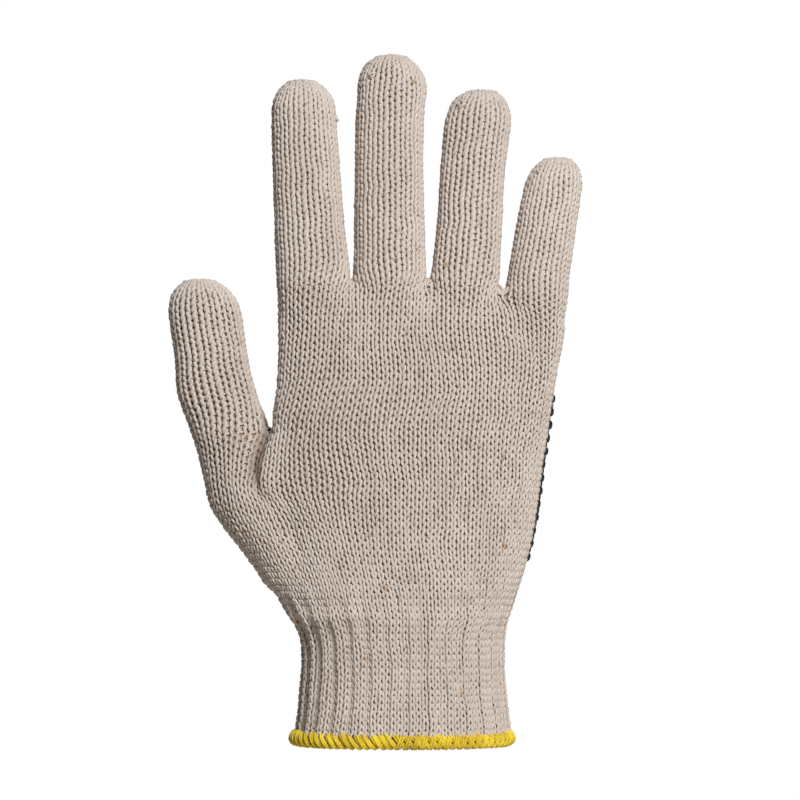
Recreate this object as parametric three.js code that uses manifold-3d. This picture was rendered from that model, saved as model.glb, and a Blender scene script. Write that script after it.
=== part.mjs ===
// A dotted string-knit work glove for the right hand, size 9, filled out as it is when worn.
// Millimetres. +Z runs to the fingertips, -Y faces out of the back of the hand and the thumb
// lies toward -X. The origin is the middle of the wrist opening, level with the hem's lower rim.
import * as THREE from "three";
import { mergeVertices } from "three/addons/utils/BufferGeometryUtils.js";
import Module from "manifold-3d";

const knitWall = 1.8; // thickness of the plain knit
const pieceGap = 0.3; // clearance between neighbouring pieces
// Facets: sides of a finger and of the hand, height between sections, sections in a tip.
const outside = { fingerSides: 20, handSides: 36, step: 9, tipSteps: 5 };
const inside = { fingerSides: 12, handSides: 20, step: 14, tipSteps: 4 };
const domePower = 2.3; // roundness of a fingertip, 2 is an ellipse

const fingerLine = 161.5; // height at which index, middle and ring finger leave the hand
const littleLine = 155.5; // height at which the little finger leaves it
const littleSide = 34.3; // x of the crotch between ring and little finger
const indexSide = -50; // x between the index finger and the tip of the thumb
const thumbCrotch = { x: -45.6, z: 109.4 };
const thumbLean = 10; // degrees that the thumb leans away from the hand

const cuffTop = 47;
const ribCount = 28;
const pointsPerRib = 4;
const ribDepth = 1.1; // height of a rib over the groove beside it
const ribFade = 5; // the ribs grow to full depth over this height below the hand
const cuffWall = 2.7; // thickness of the ribbed knit at a crest

const hemHeight = 5.4;
const hemThick = 4.6;
const hemSteps = 56;
const hemSides = 8;

// One row for each section: z is its height, x and y its middle, w and d half its width and
// depth. A hand section's right end lies tilt below its left end, and power squares its corners.
const handRows = [
  { z: 44, x: -1.2, y: 0.0, w: 37.9, d: 24.1, tilt: 0, power: 2.1 },
  { z: 50, x: -1.8, y: 0.3, w: 40.5, d: 24.0, tilt: 0, power: 2.15 },
  { z: 58, x: -0.4, y: 0.8, w: 41.8, d: 22.8, tilt: 0, power: 2.2 },
  { z: 70, x: 1.2, y: 1.3, w: 43.7, d: 20.8, tilt: 0, power: 2.3 },
  { z: 83, x: 1.7, y: 1.4, w: 45.6, d: 19.0, tilt: 0, power: 2.35 },
  { z: 99, x: 2.2, y: 1.0, w: 47.1, d: 17.6, tilt: 0, power: 2.45 },
  { z: 112, x: 3.2, y: 0.6, w: 48.1, d: 16.8, tilt: 0, power: 2.55 },
  { z: 128, x: 5.1, y: 0.6, w: 47.9, d: 15.8, tilt: 3, power: 2.7 },
  { z: 141, x: 6.2, y: 0.7, w: 49.0, d: 14.0, tilt: 7, power: 2.9 },
  { z: 151, x: 6.8, y: 0.8, w: 49.6, d: 11.8, tilt: 11, power: 3.0 },
];
const handTop = 158.5;

const indexRows = [
  { z: 142, x: -28.6, y: 0.6, w: 11.6, d: 11.2 },
  { z: 150, x: -29.9, y: 0.6, w: 12.6, d: 12.0 },
  { z: 160, x: -30.4, y: 0.8, w: 12.9, d: 12.0 },
  { z: 170, x: -31.2, y: 1.4, w: 12.6, d: 11.4 },
  { z: 182, x: -32.1, y: 2.4, w: 12.1, d: 11.0 },
  { z: 203, x: -33.3, y: 4.3, w: 11.6, d: 10.6 },
  { z: 217, x: -34.0, y: 5.6, w: 11.2, d: 10.1 },
];
const middleRows = [
  { z: 142, x: -4.1, y: 0.5, w: 11.6, d: 11.6 },
  { z: 150, x: -4.2, y: 0.5, w: 12.8, d: 12.4 },
  { z: 160, x: -4.3, y: 0.6, w: 13.0, d: 12.3 },
  { z: 166, x: -4.2, y: 0.8, w: 12.5, d: 11.9 },
  { z: 182, x: -4.4, y: 1.8, w: 12.2, d: 11.3 },
  { z: 203, x: -4.5, y: 3.4, w: 11.8, d: 10.9 },
  { z: 226, x: -4.1, y: 5.6, w: 12.0, d: 10.4 },
];
const ringRows = [
  { z: 140, x: 20.4, y: 0.6, w: 11.4, d: 11.2 },
  { z: 148, x: 20.7, y: 0.7, w: 12.4, d: 12.0 },
  { z: 158, x: 21.2, y: 0.8, w: 12.3, d: 11.9 },
  { z: 166, x: 22.1, y: 1.0, w: 11.7, d: 11.4 },
  { z: 186, x: 23.6, y: 2.5, w: 11.2, d: 10.7 },
  { z: 199, x: 24.3, y: 3.8, w: 11.2, d: 10.4 },
  { z: 214, x: 26.0, y: 5.4, w: 11.6, d: 10.0 },
];
const littleRows = [
  { z: 134, x: 42.0, y: 1.2, w: 9.6, d: 10.2 },
  { z: 142, x: 43.9, y: 1.2, w: 11.0, d: 10.9 },
  { z: 153, x: 45.8, y: 1.2, w: 11.2, d: 10.9 },
  { z: 162, x: 47.0, y: 1.4, w: 10.7, d: 10.4 },
  { z: 178, x: 49.5, y: 2.6, w: 10.5, d: 9.9 },
  { z: 192, x: 51.9, y: 4.2, w: 10.1, d: 9.3 },
];
const thumbRows = [
  { z: 48, x: -23.0, y: 1.5, w: 14.0, d: 15.0 },
  { z: 54, x: -27.4, y: 3.2, w: 17.0, d: 17.0 },
  { z: 62, x: -32.6, y: 5.0, w: 18.4, d: 18.0 },
  { z: 70.5, x: -39.0, y: 6.6, w: 19.0, d: 18.2 },
  { z: 79, x: -45.0, y: 8.0, w: 18.8, d: 17.8 },
  { z: 88, x: -49.7, y: 9.0, w: 18.0, d: 16.6 },
  { z: 99, x: -54.8, y: 9.6, w: 15.6, d: 14.6 },
  { z: 108, x: -58.6, y: 9.6, w: 14.2, d: 13.0 },
  { z: 116, x: -62.1, y: 9.4, w: 13.7, d: 12.4 },
  { z: 132, x: -65.7, y: 9.2, w: 12.7, d: 12.0 },
  { z: 148, x: -68.1, y: 9.8, w: 12.8, d: 11.4 },
];
const fingers = [
  { name: "index_finger", rows: indexRows, tip: 231.2 },
  { name: "middle_finger", rows: middleRows, tip: 239.8 },
  { name: "ring_finger", rows: ringRows, tip: 227.7 },
  { name: "little_finger", rows: littleRows, tip: 204.2 },
];
const thumbTip = 162.2;

const cuffRows = [
  { z: hemHeight + pieceGap, x: 0.3, y: 0.0, w: 37.4, d: 25.9, power: 2.1 },
  { z: 12, x: 0.4, y: 0.0, w: 36.5, d: 25.1, power: 2.1 },
  { z: 20, x: 0.2, y: 0.0, w: 35.7, d: 24.4, power: 2.1 },
  { z: 29, x: 0.4, y: 0.0, w: 35.0, d: 23.8, power: 2.1 },
  { z: 37, x: 0.3, y: 0.0, w: 35.2, d: 23.8, power: 2.1 },
  { z: 42, x: -0.4, y: 0.0, w: 36.4, d: 24.0, power: 2.1 },
  { z: cuffTop, x: -1.4, y: 0.1, w: 39.1, d: 24.1, power: 2.1 },
];
const hemLine = { x: 0.0, y: 0.0, w: 37.0, d: 25.4, power: 2.1 };

const cottonMaterial = new THREE.MeshStandardMaterial({
  color: 0xd9cdbd,
  roughness: 0.95,
  metalness: 0,
});
const hemMaterial = new THREE.MeshStandardMaterial({
  color: 0xdcb92a,
  roughness: 0.9,
  metalness: 0,
});

const wasm = await Module();
wasm.setup();

// The section of a table at any height, on a smooth curve through its rows.
function sectionAt(rows, z) {
  const last = rows.length - 1;
  let at = 0;
  while (at < last - 1 && z > rows[at + 1].z) at += 1;
  const low = rows[at];
  const high = rows[at + 1];
  const span = high.z - low.z;
  const t = (z - low.z) / span;
  const section = { z };
  for (const column of Object.keys(low)) {
    if (column === "z") continue;
    const before = at > 0 ? rows[at - 1] : low;
    const after = at + 1 < last ? rows[at + 2] : high;
    const slopeLow = (high[column] - before[column]) / (high.z - before.z);
    const slopeHigh = (after[column] - low[column]) / (after.z - low.z);
    section[column] =
      (2 * t ** 3 - 3 * t ** 2 + 1) * low[column] +
      (t ** 3 - 2 * t ** 2 + t) * span * slopeLow +
      (3 * t ** 2 - 2 * t ** 3) * high[column] +
      (t ** 3 - t ** 2) * span * slopeHigh;
  }
  return section;
}

// A point on a section's rim: turn runs from 0 to 1 from the left end over the back of the hand.
function rimPoint(section, turn, inset = 0) {
  const angle = Math.PI + turn * 2 * Math.PI;
  const corner = 2 / (section.power ?? 2);
  const across = Math.sign(Math.cos(angle)) * Math.abs(Math.cos(angle)) ** corner;
  const through = Math.sign(Math.sin(angle)) * Math.abs(Math.sin(angle)) ** corner;
  return new THREE.Vector3(
    section.x + across * (section.w - inset),
    section.y + through * (section.d - inset),
    section.z - ((section.tilt ?? 0) / 2) * across,
  );
}

// Turns that space count points evenly along a section's rim.
function evenTurns(section, count) {
  const samples = 720;
  const lengths = [0];
  for (let i = 1; i <= samples; i += 1) {
    const step = rimPoint(section, i / samples).distanceTo(rimPoint(section, (i - 1) / samples));
    lengths.push(lengths[i - 1] + step);
  }
  const turns = [];
  let at = 0;
  for (let i = 0; i < count; i += 1) {
    const wanted = (lengths[samples] * i) / count;
    while (lengths[at + 1] < wanted) at += 1;
    turns.push((at + (wanted - lengths[at]) / (lengths[at + 1] - lengths[at])) / samples);
  }
  return turns;
}

function ringMiddle(ring) {
  const middle = new THREE.Vector3();
  ring.forEach((point) => middle.addScaledVector(point, 1 / ring.length));
  return middle;
}

// A closed solid from rings of equal point counts, with a fan over each end up to its apex.
function solidFromRings(rings, apex = ringMiddle(rings[rings.length - 1])) {
  const sides = rings[0].length;
  const points = [...rings.flat(), ringMiddle(rings[0]), apex];
  const lastRing = (rings.length - 1) * sides;
  const faces = [];
  for (let side = 0; side < sides; side += 1) {
    const next = (side + 1) % sides;
    for (let row = 0; row < lastRing; row += sides) {
      faces.push(row + side, row + next, row + next + sides);
      faces.push(row + side, row + next + sides, row + side + sides);
    }
    faces.push(next, side, points.length - 2);
    faces.push(lastRing + side, lastRing + next, points.length - 1);
  }
  const geometry = new THREE.BufferGeometry().setFromPoints(points);
  geometry.setIndex(faces);
  return solidFromGeometry(geometry);
}

function solidFromGeometry(geometry) {
  geometry.deleteAttribute("normal");
  geometry.deleteAttribute("uv");
  const merged = mergeVertices(geometry, 1e-4);
  return new wasm.Manifold(
    new wasm.Mesh({
      numProp: 3,
      vertProperties: merged.attributes.position.array,
      triVerts: new Uint32Array(merged.index.array),
    }),
  );
}

// A block between two corners, leaned about the y axis round a pivot.
function block(low, high, lean = 0, pivot = { x: 0, z: 0 }) {
  const size = high.map((value, axis) => value - low[axis]);
  const geometry = new THREE.BoxGeometry(...size);
  geometry.translate(...high.map((value, axis) => (value + low[axis]) / 2));
  geometry.translate(-pivot.x, 0, -pivot.z);
  geometry.rotateY(THREE.MathUtils.degToRad(lean));
  geometry.translate(pivot.x, 0, pivot.z);
  return solidFromGeometry(geometry);
}

// The solid inside a table's rows, drawn in by inset, with a rounded tip above its last row.
function tubeSolid(rows, tip, sides, facets, inset) {
  const from = rows[0].z;
  const to = rows[rows.length - 1].z;
  const steps = Math.round((to - from) / facets.step);
  const ringOf = (section, shrink) => {
    const middle = new THREE.Vector3(section.x, section.y, section.z);
    const ring = [];
    for (let side = 0; side < sides; side += 1) {
      ring.push(middle.clone().lerp(rimPoint(section, side / sides, inset), shrink));
    }
    return ring;
  };
  const rings = [];
  for (let step = 0; step <= steps; step += 1) {
    rings.push(ringOf(sectionAt(rows, from + ((to - from) * step) / steps), 1));
  }
  // The tip keeps the lean of the rows below it.
  const base = sectionAt(rows, to);
  const below = sectionAt(rows, to - facets.step);
  const tipSection = (climb) => ({
    ...base,
    x: base.x + ((base.x - below.x) / facets.step) * climb,
    y: base.y + ((base.y - below.y) / facets.step) * climb,
    z: to + climb,
  });
  const tipHeight = tip - inset - to;
  for (let step = 1; step < facets.tipSteps; step += 1) {
    const rise = Math.sin((step / facets.tipSteps) * (Math.PI / 2));
    const shrink = (1 - rise ** domePower) ** (1 / domePower);
    rings.push(ringOf(tipSection(tipHeight * rise), shrink));
  }
  const top = tipSection(tipHeight);
  return solidFromRings(rings, new THREE.Vector3(top.x, top.y, top.z));
}

// The hand and its fingers as one solid, drawn in by inset.
function handSolid(facets, inset) {
  const digits = [...fingers, { rows: thumbRows, tip: thumbTip }];
  return digits.reduce(
    (solid, digit) =>
      solid.add(tubeSolid(digit.rows, digit.tip, facets.fingerSides, facets, inset)),
    tubeSolid(handRows, handTop, facets.handSides, facets, inset),
  );
}

// The ribbed wrist, each rib rounded over pointsPerRib points.
function cuffSolid() {
  const sides = ribCount * pointsPerRib;
  const outerHeights = cuffRows.map((row) => row.z);
  const outer = outerHeights.map((z) => {
    const section = sectionAt(cuffRows, z);
    const depth = ribDepth * Math.min(1, (cuffTop - z) / ribFade);
    return evenTurns(section, sides).map((turn, i) => {
      const groove = 0.5 - 0.5 * Math.cos((i / pointsPerRib) * 2 * Math.PI);
      return rimPoint(section, turn, depth * groove);
    });
  });
  // Every second row is enough inside, and the ends run out past the wall that they cut.
  const innerHeights = outerHeights.filter((z, i) => i % 2 === 0);
  innerHeights[0] -= pieceGap;
  innerHeights[innerHeights.length - 1] += pieceGap;
  const inner = innerHeights.map((z) => {
    const section = sectionAt(cuffRows, z);
    return evenTurns(section, sides / 2).map((turn) => rimPoint(section, turn, cuffWall));
  });
  return solidFromRings(outer).subtract(solidFromRings(inner));
}

// The overlocked edge: a round bead carried once round the mouth.
function hemSolid() {
  const turns = evenTurns({ ...hemLine, z: 0 }, hemSteps);
  const points = [];
  for (let side = 0; side < hemSides; side += 1) {
    const angle = (side / hemSides) * 2 * Math.PI;
    const outward = Math.cos(angle) * (hemThick / 2);
    const z = (hemHeight / 2) * (1 + Math.sin(angle));
    points.push(...turns.map((turn) => rimPoint({ ...hemLine, z }, turn, -outward)));
  }
  const faces = [];
  for (let side = 0; side < hemSides; side += 1) {
    const above = (side + 1) % hemSides;
    for (let step = 0; step < hemSteps; step += 1) {
      const next = (step + 1) % hemSteps;
      const [a, b] = [side * hemSteps + step, side * hemSteps + next];
      const [c, d] = [above * hemSteps + next, above * hemSteps + step];
      faces.push(a, b, c, a, c, d);
    }
  }
  const geometry = new THREE.BufferGeometry().setFromPoints(points);
  geometry.setIndex(faces);
  return solidFromGeometry(geometry);
}

const glove = new THREE.Group();

function addNode(name, solid, material) {
  const { vertProperties, triVerts, numProp } = solid.getMesh();
  const positions = new Float32Array(triVerts.length * 3);
  triVerts.forEach((vertex, i) => {
    for (let axis = 0; axis < 3; axis += 1) {
      positions[i * 3 + axis] = vertProperties[vertex * numProp + axis];
    }
  });
  const geometry = new THREE.BufferGeometry();
  geometry.setAttribute("position", new THREE.BufferAttribute(positions, 3));
  geometry.computeVertexNormals();
  const mesh = new THREE.Mesh(geometry, material);
  mesh.name = name;
  glove.add(mesh);
}

const far = 200; // well outside the glove
const half = pieceGap / 2;
const knit = handSolid(outside, 0).subtract(handSolid(inside, knitWall));
const fingerBlock = (grow) =>
  block([indexSide, -far, fingerLine - grow], [littleSide, far, far * 2]).add(
    block([littleSide - pieceGap, -far, littleLine - grow], [far, far, far * 2]),
  );
const thumbBlock = (grow) =>
  block(
    [-far, -far, thumbCrotch.z - grow],
    [thumbCrotch.x + grow, far, far * 2],
    -thumbLean,
    thumbCrotch,
  );
const thumbPiece = knit.intersect(thumbBlock(0));
const fingerPieces = knit.intersect(fingerBlock(-half)).decompose();
const palmPiece = knit
  .subtract(fingerBlock(half))
  .subtract(thumbBlock(pieceGap))
  .intersect(block([-far, -far, cuffTop + pieceGap], [far, far, far * 2]));

fingerPieces.sort((a, b) => a.boundingBox().min[0] - b.boundingBox().min[0]);
fingers.forEach((finger, i) => addNode(finger.name, fingerPieces[i], cottonMaterial));
addNode("thumb", thumbPiece, cottonMaterial);
addNode("palm_body", palmPiece, cottonMaterial);
addNode("wrist_cuff", cuffSolid(), cottonMaterial);
addNode("cuff_hem", hemSolid(), hemMaterial);

export default glove;
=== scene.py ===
import bmesh
import bpy
import math
import numpy as np
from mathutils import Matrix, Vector
from mathutils.bvhtree import BVHTree


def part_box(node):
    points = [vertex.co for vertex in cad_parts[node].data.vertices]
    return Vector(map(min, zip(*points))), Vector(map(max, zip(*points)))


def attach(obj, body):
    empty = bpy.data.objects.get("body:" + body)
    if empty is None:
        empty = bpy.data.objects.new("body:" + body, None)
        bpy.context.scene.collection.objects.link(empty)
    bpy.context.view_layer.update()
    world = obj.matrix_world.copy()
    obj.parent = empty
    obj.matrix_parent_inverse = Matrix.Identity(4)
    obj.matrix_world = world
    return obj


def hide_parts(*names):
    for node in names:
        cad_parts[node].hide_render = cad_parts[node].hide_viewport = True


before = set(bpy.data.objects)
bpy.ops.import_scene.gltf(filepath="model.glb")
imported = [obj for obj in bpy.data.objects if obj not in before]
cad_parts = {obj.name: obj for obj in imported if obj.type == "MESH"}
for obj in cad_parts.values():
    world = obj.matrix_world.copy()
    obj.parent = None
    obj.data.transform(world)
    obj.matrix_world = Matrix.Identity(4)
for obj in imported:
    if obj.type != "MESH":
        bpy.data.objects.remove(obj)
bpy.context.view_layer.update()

# A dotted string-knit work glove, every stitch of it a loop of real yarn.
# Lengths are millimetres until a mesh is made. The back of the hand faces -Y, the thumb is at -X,
# and knitting ran from the fingertips down to the wrist, so a loop's head points to the cuff.
mm = 0.001
dice = np.random.default_rng(41)
turn = 2 * math.pi


# The walls of the frame, as the form that the yarn is knitted round
fingerNames = ["index_finger", "middle_finger", "ring_finger", "little_finger"]
digitNames = fingerNames + ["thumb"]


def runningSum(steps):
    return np.concatenate([[0], np.cumsum(steps)])


def unit(vectors):
    return vectors / np.maximum(np.linalg.norm(vectors, axis=-1, keepdims=True), 1e-9)


# How far a face is lifted before it looks out, and the least part of its normal that counts
facing = {"lift": 0.05, "flat": 0.01, "crown": 0.3, "away": 0.15}


def facesOf(name):
    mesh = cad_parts[name].data
    mesh.calc_loop_triangles()
    points = np.empty(len(mesh.vertices) * 3)
    mesh.vertices.foreach_get("co", points)
    corners = np.empty(len(mesh.loop_triangles) * 3, dtype=np.int32)
    mesh.loop_triangles.foreach_get("vertices", corners)
    points, corners = points.reshape(-1, 3) / mm, corners.reshape(-1, 3)
    a, b, c = (points[corners[:, i]] for i in range(3))
    return points, corners, (a + b + c) / 3, unit(np.cross(b - a, c - a))


def outerFaces(name):
    # The faces that nothing of the same wall hides from the front or from behind. The flat cut
    # ends of a wall face neither way.
    points, corners, middle, normal = facesOf(name)
    middle = middle + normal * facing["lift"]
    wall = BVHTree.FromPolygons(points.tolist(), corners.tolist())
    seen = []
    for spot, way in zip(middle.tolist(), np.sign(normal[:, 1]).tolist()):
        seen.append(wall.ray_cast(Vector(spot), Vector((0, way, 0.001)))[0] is None)
    crown = (normal[:, 2] > facing["crown"]) & (name in digitNames)
    return points, corners[np.array(seen) & ((abs(normal[:, 1]) > facing["flat"]) | crown)]


def awayFaces(name):
    # The faces that look away from the upright middle line, for a wall with ribs
    points, corners, away, normal = facesOf(name)
    away[:, 2] = 0
    return points, corners[(normal * unit(away)).sum(1) > facing["away"]]


def treeOf(skins):
    points, faces, count = [], [], 0
    for skinPoints, skinFaces in skins:
        points.append(skinPoints)
        faces.append(skinFaces + count)
        count += len(skinPoints)
    return BVHTree.FromPolygons(np.concatenate(points).tolist(), np.concatenate(faces).tolist())


cuffLow, cuffHigh = (np.array(corner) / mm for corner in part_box("wrist_cuff"))
skins = {name: outerFaces(name) for name in digitNames + ["palm_body"]}
skins["wrist_cuff"] = awayFaces("wrist_cuff")
upperTree = treeOf([skins[name] for name in fingerNames + ["palm_body"]])
lowerTree = treeOf([skins[name] for name in ["thumb", "palm_body", "wrist_cuff"]])
cuffTree = treeOf([skins["wrist_cuff"]])
digitTrees = {name: treeOf([skins[name], skins["palm_body"]]) for name in digitNames}
print("walls read:", {name: len(faces) for name, (points, faces) in skins.items()})


def throughDepth(tree, x, z, side):
    # Where a needle pushed in from one side meets the skin: side -1 is the back of the hand
    hit = tree.ray_cast(Vector((x, side * 90, z)), Vector((0, -side, 0)))[0]
    return None if hit is None else np.array(hit)


def nearest(tree, point):
    # The nearest point of the skin, and the way out of it
    return [np.array(part) for part in tree.find_nearest(Vector(point))[:2]]


def spanAt(tree, z, yLow=-26, yHigh=28, reach=110):
    # Left and right ends of the section at a height
    ends = [None, None]
    for y in np.arange(yLow, yHigh, 1.0):
        for k, way in enumerate((1, -1)):
            hit = tree.ray_cast(Vector((-reach * way, y, z)), Vector((way, 0, 0)))[0]
            if hit is not None and (ends[k] is None or hit.x * way < ends[k][0] * way):
                ends[k] = np.array(hit)
    return ends


# The order of the knitting: half is the number of wales on one side of a tube
knitPlan = {
    "digits": {
        "index_finger": {"half": 9, "courses": 36, "tipHalves": (5, 7), "foot": 161.0},
        "middle_finger": {"half": 9, "courses": 41, "tipHalves": (5, 7), "foot": 161.0},
        "ring_finger": {"half": 8, "courses": 34, "tipHalves": (4, 6), "foot": 160.6},
        "little_finger": {"half": 8, "courses": 26, "tipHalves": (4, 6), "foot": 154.8},
        "thumb": {"half": 8, "courses": 28, "tipHalves": (4, 6), "foot": 110.4},
    },
    "firstRing": 1.6,  # distance of the topmost course from the tip, along the skin
    # The tips close along a short ridge: half width and half depth of the first courses there
    "tipWide": (0.45, 0.62, 0.76, 0.86, 0.93, 0.98),
    "tipDeep": (0.10, 0.34, 0.54, 0.72, 0.85, 0.95),
    "tipReach": 13,  # distance from the tip where a digit has its full width
    "sections": (0.03, 0.6, 0.4),  # of a digit: start below the tip, end past the foot, step
    "inset": 0.985,  # part of a digit's half width that the needles are spread over
    "upperLevels": (105, 161, 2.0),  # heights at which the hand is measured, and their step
    "lowerLevels": (46, 110.1, 2.0),
    "guessZ": 150,  # height at which a wale's place across the fingers is read
    "upperCourses": 21,  # between the finger crotches and the thumb crotch
    "lowerCourses": 26,  # between the thumb crotch and the cuff
    "cuffCourses": 18,
    "crotchX": -45.6,  # of the thumb
    "crotchZ": 108.9,
    "evenZ": 118,  # the wales are evenly spread below this height
    "littleStep": (36.5, 41),  # x over which the top of the hand falls to the little finger
    "bow": 0.06,  # how far the wales of the hand lie toward the little finger
    "settle": 40,  # rounds of evening out
    "depth": 0.85,  # middle of the knit below the skin
    "wander": 0.2,  # millimetres by which the rows and wales stray
}

courses = []
links = []


def addCourse(piece, stitches):
    first = courses[-1]["last"] if courses else 0
    courses.append({
        "piece": piece,
        "first": first,
        "last": first + len(stitches),
        "stitches": np.array(stitches),
    })
    return np.arange(first, first + len(stitches))


def linkTip(upper, lower):
    # Wales are added at both sides of a growing tip
    up, low = len(upper) // 2, len(lower) // 2
    extra = (low - up) // 2
    for half in (0, 1):
        a = upper[half * up:(half + 1) * up]
        b = lower[half * low:(half + 1) * low]
        links.append((a, b[extra:extra + up], True))
        if extra:
            links.append((np.repeat(a[0], extra), b[:extra], False))
            links.append((np.repeat(a[-1], extra), b[extra + up:], False))


digitForms = {}


def knitDigit(name):
    look = knitPlan["digits"][name]
    tree = treeOf([skins[name]])
    low, high = (np.array(corner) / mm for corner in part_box(name))
    below, past, step = knitPlan["sections"]
    levels = np.arange(high[2] - below, look["foot"] - past, -step)
    sections = []
    for z in levels:
        z = max(z, low[2] + 0.05)
        left, right = spanAt(tree, z, low[1] - 1, high[1] + 1)
        if left is None or right is None:
            continue
        x = (left[0] + right[0]) / 2
        back, palm = throughDepth(tree, x, z, -1), throughDepth(tree, x, z, 1)
        if back is None or palm is None:
            continue
        deep = (palm[1] - back[1]) / 2
        sections.append((z, x, (right[0] - left[0]) / 2, deep, back[1] + deep))
    sections = np.array(sections)
    girth = (sections[:, 2] + sections[:, 3]) / 2
    steps = np.hypot(np.diff(sections[:, 0]), np.diff(girth))
    fromTip = girth[0] + runningSum(steps)
    top = sections[0] * (1, 1, 0, 0, 1)
    sections, fromTip = np.vstack([top, sections]), np.concatenate([[0], fromTip])
    digitForms[name] = sections, fromTip
    footAt = np.interp(-look["foot"], -sections[:, 0], fromTip)
    first = knitPlan["firstRing"]
    pitch = (footAt - first) / (look["courses"] - 0.5)
    fullWide, fullDeep = (np.interp(knitPlan["tipReach"], fromTip, sections[:, i]) for i in (2, 3))
    above = None
    for course in range(look["courses"]):
        tips = look["tipHalves"]
        half = tips[course] if course < len(tips) else look["half"]
        at = first + course * pitch
        z, x, w, d, y = (np.interp(at, fromTip, sections[:, i]) for i in range(5))
        stitches = []
        for j in range(2 * half):
            angle = math.pi + turn * (j + 0.5) / (2 * half)
            side = -1 if j < half else 1
            if course < len(knitPlan["tipWide"]):
                across = x + fullWide * knitPlan["tipWide"][course] * math.cos(angle)
                deep = y + fullDeep * knitPlan["tipDeep"][course] * math.sin(angle)
                hit = tree.ray_cast(Vector((across, deep, high[2] + 5)), Vector((0, 0, -1)))[0]
            else:
                hit = throughDepth(tree, x + knitPlan["inset"] * w * math.cos(angle), z, side)
            if hit is None:
                hit = nearest(tree, (x + w * math.cos(angle), y + d * math.sin(angle), z))[0]
            stitches.append(np.array(hit))
        ids = addCourse(name, stitches)
        if above is not None:
            linkTip(above, ids)
        above = ids
    print(name, "courses every", round(pitch, 2), "mm")
    return above


def contoursOf(tree, levels, samples=120, needles=150):
    # For each height, the section's rim: side 0 over the back of the hand, side 1 over the palm
    table = np.zeros((len(levels), 2, samples + 1, 3))
    for row, z in enumerate(levels):
        left, right = spanAt(tree, z)
        middle, half = (left[0] + right[0]) / 2, (right[0] - left[0]) / 2
        for side in (0, 1):
            rim = [left]
            for angle in np.linspace(math.pi, 0, needles)[1:-1]:
                hit = throughDepth(tree, middle + half * math.cos(angle), z, side * 2 - 1)
                if hit is not None:
                    rim.append(hit)
            rim.append(right)
            rim = np.array(rim)
            length = runningSum(np.linalg.norm(np.diff(rim, axis=0), axis=1))
            wanted = np.linspace(0, length[-1], samples + 1)
            for axis in range(3):
                table[row, side, :, axis] = np.interp(wanted, length, rim[:, axis])
    return table


def inTable(table, row, column, nextColumn):
    r, c = int(row), int(column)
    a, b = (table[k, c] * (c + 1 - column) + table[k, nextColumn] * (column - c) for k in (r, r + 1))
    return a * (r + 1 - row) + b * (row - r)


def onContour(table, levels, z, side, share):
    samples = table.shape[2] - 1
    row = np.clip((z - levels[0]) / (levels[1] - levels[0]), 0, len(levels) - 1.001)
    column = np.clip(share * samples, 0, samples - 0.001)
    return inTable(table[:, side], row, column, int(column) + 1)


def smooth(value):
    value = min(1.0, max(0.0, value))
    return value * value * (3 - 2 * value)


# Each finger first, as the machine does
feet = {name: knitDigit(name) for name in digitNames}


def halvesOf(ids):
    return ids[:len(ids) // 2], ids[len(ids) // 2:]


def joinFingers(names, half):
    # The wales of the fingers side by side, with one new wale at each crotch
    ids, own = [], []
    for name in names:
        if ids:
            ids.append(ids[-1])
            own.append(False)
        wales = halvesOf(feet[name])[half].tolist()
        ids += wales
        own += [True] * len(wales)
    return np.array(ids), np.array(own)


fingerFront, ownFront = joinFingers(fingerNames, 0)
fingerBack, ownBack = joinFingers(fingerNames[::-1], 1)
upperRow = np.concatenate([fingerFront, fingerBack])
ownWale = np.concatenate([ownFront, ownBack])
upperHalf = len(fingerFront)
upperLevels = np.arange(*knitPlan["upperLevels"])
upperTable = contoursOf(upperTree, upperLevels)


def shareByX(table, row, side, x):
    rim = table[row, side, :, 0]
    return np.interp(x, np.maximum.accumulate(rim), np.linspace(0, 1, len(rim)))


def handTopAt(x):
    a, b = knitPlan["littleStep"]
    foot = knitPlan["digits"]
    drop = smooth((x - a) / (b - a))
    return foot["index_finger"]["foot"] * (1 - drop) + foot["little_finger"]["foot"] * drop


# The hand below the fingers: the wales leave the fingers and spread evenly
topRow = len(upperLevels) - 3
fingerShare = {}
stitchX = np.concatenate([course["stitches"] for course in courses])[:, 0]
for side, ids, own in ((0, fingerFront, ownFront), (1, fingerBack[::-1], ownBack[::-1])):
    share = shareByX(upperTable, topRow, side, stitchX[ids])
    places = np.arange(len(ids))
    fingerShare[side] = np.interp(places, places[own], share[own])


def bowed(share):
    return share + knitPlan["bow"] * math.sin(math.pi * share) * (1 - share)


def handCourse(piece, half, placeAt, down):
    front, back = ([placeAt(side, j, down) for j in range(half)] for side in (0, 1))
    return addCourse(piece, front + back[::-1])


def upperPlace(side, j, down):
    own = fingerShare[side][j]
    top = handTopAt(onContour(upperTable, upperLevels, knitPlan["guessZ"], side, own)[0])
    z = top + (knitPlan["crotchZ"] - top) * down
    blend = smooth((top - z) / (top - knitPlan["evenZ"]))
    share = own * (1 - blend) + bowed((j + 0.5) / upperHalf) * blend
    return onContour(upperTable, upperLevels, z, side, share)


above = upperRow
for course in range(knitPlan["upperCourses"]):
    ids = handCourse("hand_upper", upperHalf, upperPlace, (course + 0.5) / knitPlan["upperCourses"])
    if course == 0:
        links.append((above[ownWale], ids[ownWale], True))
        links.append((above[~ownWale], ids[~ownWale], False))
    else:
        links.append((above, ids, True))
    above = ids

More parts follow.
